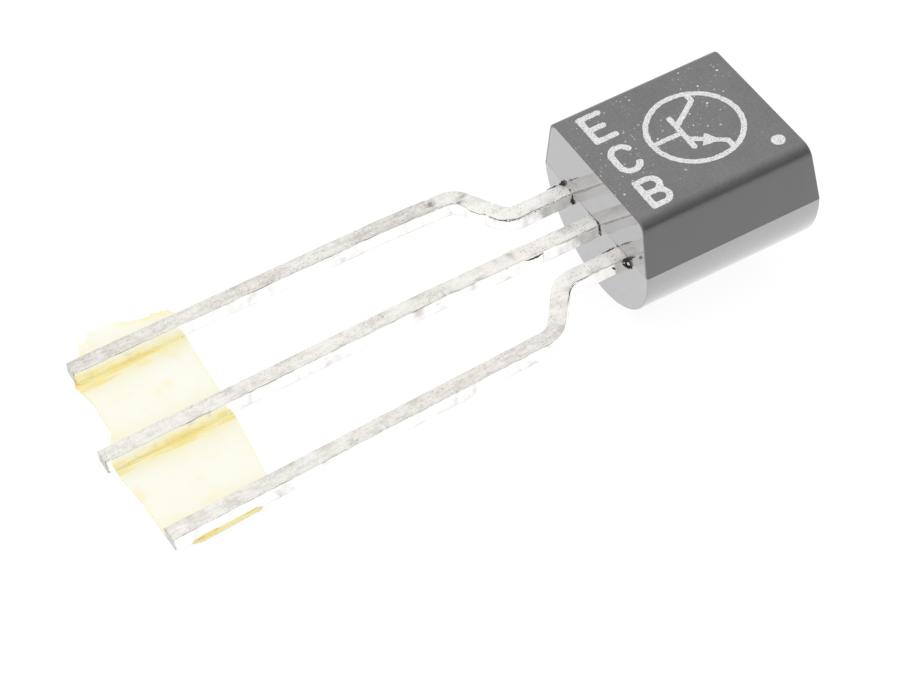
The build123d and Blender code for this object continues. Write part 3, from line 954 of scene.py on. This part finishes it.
def makeTape():
    outline = frayedOutline()
    loop = list(range(len(outline)))
    verts, _, faces, _, _, _ = delaunay_2d_cdt(outline + innerPoints(outline), [], [loop], 1, 1e-6)
    bm = bmesh.new()
    besideLayer, edgeLayer = [bm.verts.layers.float.new(key) for key in ("beside", "edge")]
    half = lead["width"] / 2
    top = []
    bottom = []
    for point in verts:
        edge = min((point - q).length for q in outline)
        thin = tape["thinEdge"]
        thick = tape["thickness"] * (thin + (1 - thin) * min(1, edge / tape["thinReach"]))
        gap = min(abs(point.y - leadLine(point.x, which)) for which in ("emitter", "collector", "base"))
        upper = -lead["thickness"] - 0.001
        if gap >= half:  # the tape sags a little between the leads
            rise = noise.noise(Vector((point.x * tape["waveScale"], point.y * tape["waveScale"], 2)))
            wave = tape["wave"] * rise - tape["wave"]
            upper += wave * min(1, (gap - half) / tape["waveReach"])
        atTear = point.y > lead["formed"] + 0.2 or point.y < -lead["formed"]
        for side, z, awayFromLead, awayFromEdge in ((top, upper, 0, 0 if atTear else 0.13),
                                                    (bottom, -lead["thickness"] - thick, 0.4, 0.1)):
            vertex = bm.verts.new((point.x, point.y, z))
            vertex[besideLayer] = abs(gap - half) + awayFromLead
            vertex[edgeLayer] = edge + awayFromEdge
            side.append(vertex)
    edges = {}
    for face in faces:
        bm.faces.new([top[i] for i in face])
        bm.faces.new([bottom[i] for i in reversed(face)])
        edges.update(dict.fromkeys(zip(face, face[1:] + face[:1])))
    for a, b in edges:
        if (b, a) not in edges:
            bm.faces.new((top[b], top[a], bottom[a], bottom[b]))
    settle("tornTape", meshFrom(bm, "tornTape"), [tapeMaterial], "holding_tape", 60)


makeTape()

# Beads of glue squeezed out along the leads' sides, which show the tape's painted shade yellow and amber in full:
# which lead, the shares of the tape's length and the side
bead = {
    "width": 0.07, "thickness": 0.045, "level": -0.385, "edgeRadius": 0.02, "edgeSteps": 2, "step": 0.06,
    "ripple": 0.06, "sunk": 0.005, "seed": 6,
    "runs": [("emitter", 0.06, 0.97, 1), ("emitter", 0.06, 0.97, -1), ("collector", 0.05, 0.95, 1),
             ("collector", 0.05, 0.95, -1), ("base", 0.06, 0.90, 1), ("base", 0.24, 0.72, -1)],
}


def makeBeads():
    bm = bmesh.new()
    for which, start, end, side in bead["runs"]:
        route = []
        for share in (start, (start + end) / 2, end):
            x = tape["tip"] + share * tape["length"]
            route.append((x, leadLine(x, which) + side * (lead["width"] / 2 - bead["sunk"])))
        bm.from_mesh(sweepRoute(which + "Bead", route, [0], bead["seed"] + side, bead, tapeMaterial))
    settle("glueBeads", meshFrom(bm, "glueBeads"), [tapeMaterial], None, 60)


makeBeads()

# Marks printed on the flat face: a letter for each lead, a circuit symbol and one dot
mark = {
    "stroke": 0.165, "letterHigh": 0.86, "letterWide": 0.50, "letterX": 0.66, "symbolX": 2.82, "symbolRadius": 1.16,
    "symbolStroke": 0.14, "barX": 0.35, "barHalf": 0.56, "armX": 0.42, "arm": (0.24, 0.80, 1.05), "arrowFrom": 0.26,
    "arrowStart": 0.36, "arrowLong": 0.44, "arrowWide": 0.22, "dot": (4.20, -1.45), "dotRadius": 0.175,
    "from": (0.3, -2.0), "to": (4.5, 2.0), "cell": 0.02, "margin": 0.2, "rough": 0.008, "lift": 0.004,
    "sunk": 0.001, "farOff": 9.0,
}


def letterLines(letter):
    wide = mark["letterWide"]
    high = mark["letterHigh"]
    if letter == "E":
        return [[(wide, 0), (0, 0), (0, high), (wide, high)], [(0, high / 2), (wide * 0.8, high / 2)]]
    if letter == "C":
        upper = arcPoints((wide / 2, high - wide / 2), wide / 2, 20, 180)
        return [upper + arcPoints((wide / 2, wide / 2), wide / 2, 180, 340)]
    bow = high / 4
    upper = [(0, high), (wide - bow, high)] + arcPoints((wide - bow, high - bow), bow, 90, -90) + [(0, high / 2)]
    lower = [(0, high / 2), (wide - bow, high / 2)] + arcPoints((wide - bow, bow), bow, 90, -90) + [(0, 0)]
    return [[(0, 0), (0, high)], upper, lower]


def printedLines():
    lines = []
    for letter, row in (("E", lead["pitch"]), ("C", 0), ("B", -lead["pitch"])):
        for line in letterLines(letter):
            lines.append([(x + mark["letterX"], y + row - mark["letterHigh"] / 2) for x, y in line])
    middle, radius = mark["symbolX"], mark["symbolRadius"]
    bar = middle - mark["barX"]
    arm = middle + mark["armX"]
    lines.append(arcPoints((middle, 0), radius, 0, 360, 60))
    lines.append([(bar, -mark["barHalf"]), (bar, mark["barHalf"])])
    lines.append([(middle - radius, 0), (bar, 0)])
    root, elbow, rim = mark["arm"]
    for side in (1, -1):
        lines.append([(bar, side * root), (arm, side * elbow), (arm, side * rim)])
    return lines


def arrowGap(point):
    # A filled arrowhead on the emitter's line, pointing outwards
    start = Vector((mark["symbolX"] - mark["barX"], -mark["arrowFrom"]))
    way = (Vector((mark["symbolX"] + mark["armX"], -mark["arm"][1])) - start).normalized()
    along = (point - start - way * mark["arrowStart"]).dot(way)
    beside = abs((point - start).cross(way))
    return max(beside - mark["arrowWide"] * (1 - along / mark["arrowLong"]), -along)


def gapTo(point, line):
    best = mark["farOff"]
    for a, b in zip(line, line[1:]):
        start = Vector(a)
        run = Vector(b) - start
        share = 0 if run.length == 0 else max(0, min(1, (point - start).dot(run) / run.length_squared))
        best = min(best, (point - start - run * share).length)
    return best


def inkGap(point, boxedLines):
    # how far the point is from the ink, below 0 inside it
    gap = mark["farOff"]
    onSymbol = point.x >= mark["symbolX"] - mark["symbolRadius"] - mark["margin"]
    stroke = mark["symbolStroke"] if onSymbol else mark["stroke"]
    for line, (left, right, low, high) in boxedLines:
        if left < point.x < right and low < point.y < high:
            gap = min(gap, gapTo(point, line) - stroke / 2)
    gap = min(gap, (point - Vector(mark["dot"])).length - mark["dotRadius"], arrowGap(point))
    if gap < mark["margin"]:  # the ink's edge is a little rough
        gap += mark["rough"] * 2 * noise.noise(Vector((point.x * 9, point.y * 9, 4)))
        gap += mark["rough"] * noise.noise(Vector((point.x * 30, point.y * 30, 9)))
    return gap


def makePrint():
    margin = mark["margin"]
    boxedLines = []
    for line in printedLines():
        xs, ys = zip(*line)
        boxedLines.append((line, (min(xs) - margin, max(xs) + margin, min(ys) - margin, max(ys) + margin)))
    cell = mark["cell"]
    x0, y0 = mark["from"]
    across = int((mark["to"][0] - x0) / cell)
    up = int((mark["to"][1] - y0) / cell)
    field = []
    for i in range(across + 1):
        field.append([inkGap(Vector((x0 + i * cell, y0 + j * cell)), boxedLines) for j in range(up + 1)])
    bm = bmesh.new()
    known = {}

    def vertexAt(key, i, j):
        if key not in known:
            known[key] = bm.verts.new((x0 + i * cell, y0 + j * cell, 0))
        return known[key]

    def crossing(i, j, k, m):  # where the ink's edge cuts the side between two cells' corners
        first, second = field[i][j], field[k][m]
        share = first / (first - second)
        key = (min((i, j), (k, m)), max((i, j), (k, m)))
        return vertexAt(key, i + (k - i) * share, j + (m - j) * share)

    for i in range(across):
        for j in range(up):
            ring = [(i, j), (i + 1, j), (i + 1, j + 1), (i, j + 1)]
            inks = [field[a][b] < 0 for a, b in ring]
            verts = []
            for k in range(4):
                after = (k + 1) % 4
                if inks[k]:
                    verts.append(vertexAt(ring[k], *ring[k]))
                if inks[k] != inks[after]:
                    verts.append(crossing(*ring[k], *ring[after]))
            if len(verts) > 2:
                bm.faces.new(verts)
    bmesh.ops.dissolve_limit(bm, angle_limit=0.02, verts=bm.verts, edges=bm.edges)
    raised = bmesh.ops.extrude_face_region(bm, geom=list(bm.faces))
    for item in raised["geom"]:
        if isinstance(item, bmesh.types.BMVert):
            item.co.z = mark["lift"]
    for vertex in bm.verts:
        vertex.co.z += package["front"] - mark["sunk"]
    settle("faceMarks", meshFrom(bm, "faceMarks"), [plainMaterials["markInk"]], None, 40)


makePrint()

# Hidden pieces keep their solids and get their own finishes
hidden = {
    "transistor_chip": "siliconChip", "chip_bond": "silverBond", "emitter_wire": "goldWire",
    "base_wire": "goldWire",
}
for nodeName, finish in hidden.items():
    slots = frame["nodes"][nodeName].data.materials
    slots.clear()
    slots.append(plainMaterials[finish])
print("hidden pieces finished")
